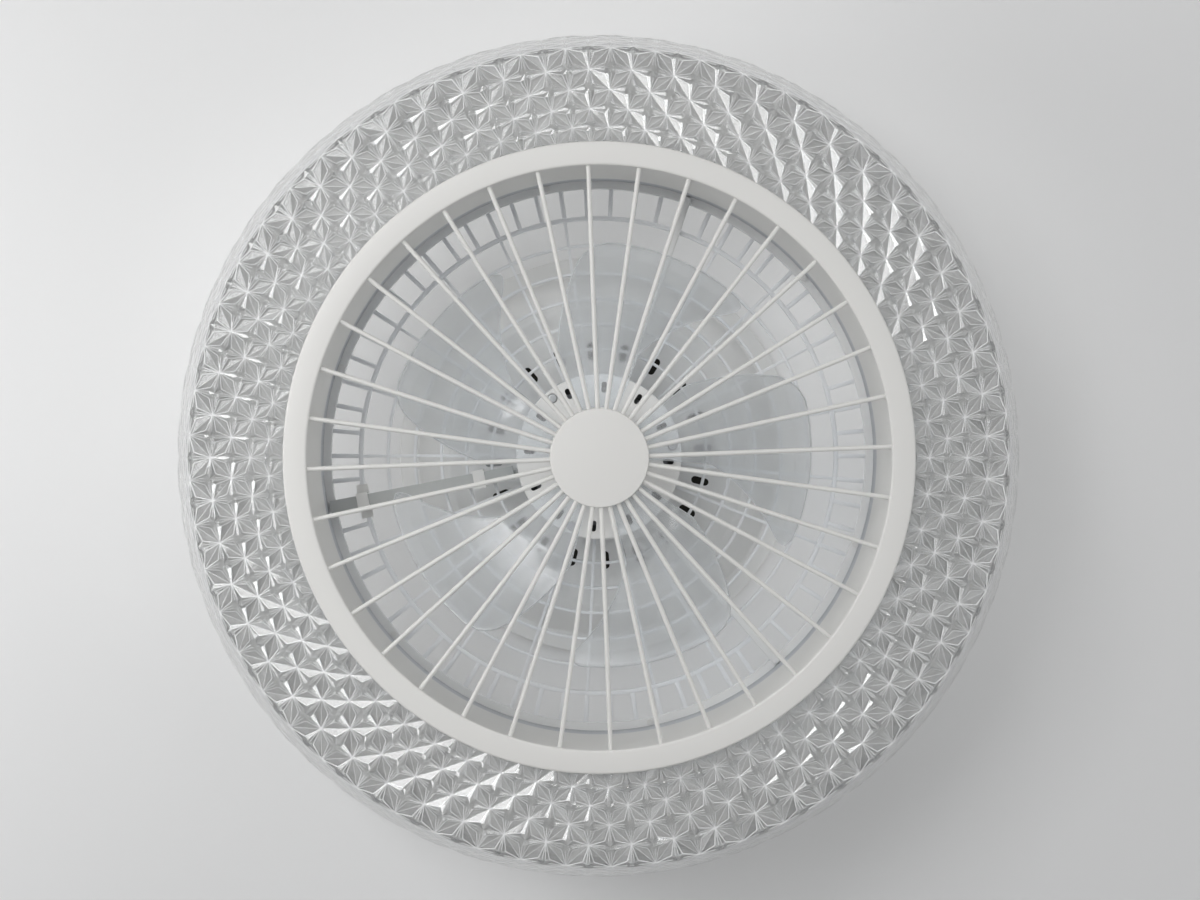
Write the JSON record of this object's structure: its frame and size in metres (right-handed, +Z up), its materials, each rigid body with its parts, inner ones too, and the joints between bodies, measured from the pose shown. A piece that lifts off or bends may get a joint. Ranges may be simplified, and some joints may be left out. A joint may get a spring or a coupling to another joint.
{
  "type": "ceiling fan",
  "caption": "Low ceiling fan light: bladed rotor in a round duct behind a spoked grille, with a ring-shaped faceted clear shade around it, hung from a round canopy.",
  "frame": {"origin": "on the fan's axis, in the ceiling face of the bracket", "axes": "+Z up into the ceiling along the fan's axis, +X along the bracket's strap"},
  "size_m": [0.5, 0.4998, 0.18],
  "materials": {
    "white_paint": "satin",
    "white_plastic": "matte",
    "guard_plastic": "matte",
    "clear_acrylic": "clear, moulded in facets",
    "blade_acrylic": "clear, faint blue-grey",
    "frosted_acrylic": "frosted",
    "zinc_steel": "zinc plated",
    "cast_aluminium": "as cast",
    "grey_plastic": "matte",
    "board_white": "white solder mask",
    "core_steel": "laminated",
    "copper_wire": "enamelled",
    "magnet_ferrite": "sintered"
  },
  "bodies": {
    "fixture": {"ceiling_bracket": "zinc_steel", "canopy": "white_paint", "canopy_screw_1": "zinc_steel", "canopy_screw_2": "zinc_steel", "led_driver": "white_plastic", "fan_controller": "white_plastic", "terminal_block": "white_plastic", "motor_mount": "cast_aluminium", "mount_screw_1": "zinc_steel", "mount_screw_2": "zinc_steel", "mount_screw_3": "zinc_steel", "motor_shaft": "zinc_steel", "shaft_nut": "zinc_steel", "shaft_lock_nut": "zinc_steel", "motor_base": "cast_aluminium", "motor_stator": "core_steel", "stator_windings": "copper_wire", "rear_guard": "guard_plastic", "support_arm_1": "white_paint", "support_arm_2": "white_paint", "support_arm_3": "white_paint", "cable_channel": "grey_plastic", "channel_clip_outer": "white_plastic", "channel_clip_inner": "white_plastic", "led_lead": "grey_plastic", "chassis_plate": "white_paint", "guard_screw_1": "white_plastic", "guard_screw_2": "white_plastic", "guard_screw_3": "white_plastic", "guard_screw_4": "white_plastic", "guard_screw_5": "white_plastic", "guard_screw_6": "white_plastic", "duct_wall": "frosted_acrylic", "led_board": "board_white", "shade_screw_1": "zinc_steel", "shade_screw_2": "zinc_steel", "shade_screw_3": "zinc_steel", "shade_screw_4": "zinc_steel", "shade_screw_5": "zinc_steel", "shade_screw_6": "zinc_steel", "front_ring": "white_plastic", "shade": "clear_acrylic", "grille_spokes": "white_plastic", "grille_cap": "white_plastic"},
    "rotor": {"rotor_cover": "cast_aluminium", "rotor_housing": "white_paint", "rotor_magnets": "magnet_ferrite", "upper_bearing": "zinc_steel", "lower_bearing": "zinc_steel", "blade_1": "blade_acrylic", "blade_2": "blade_acrylic", "blade_3": "blade_acrylic", "blade_4": "blade_acrylic", "blade_5": "blade_acrylic", "blade_clamp": "white_plastic"}
  },
  "joints": [
    {"name": "rotor_spin", "type": "hinge", "parent": "fixture", "child": "rotor", "pos_m": [0, 0, -0.102], "axis": [0, 0, 1], "continuous": true}
  ]
}
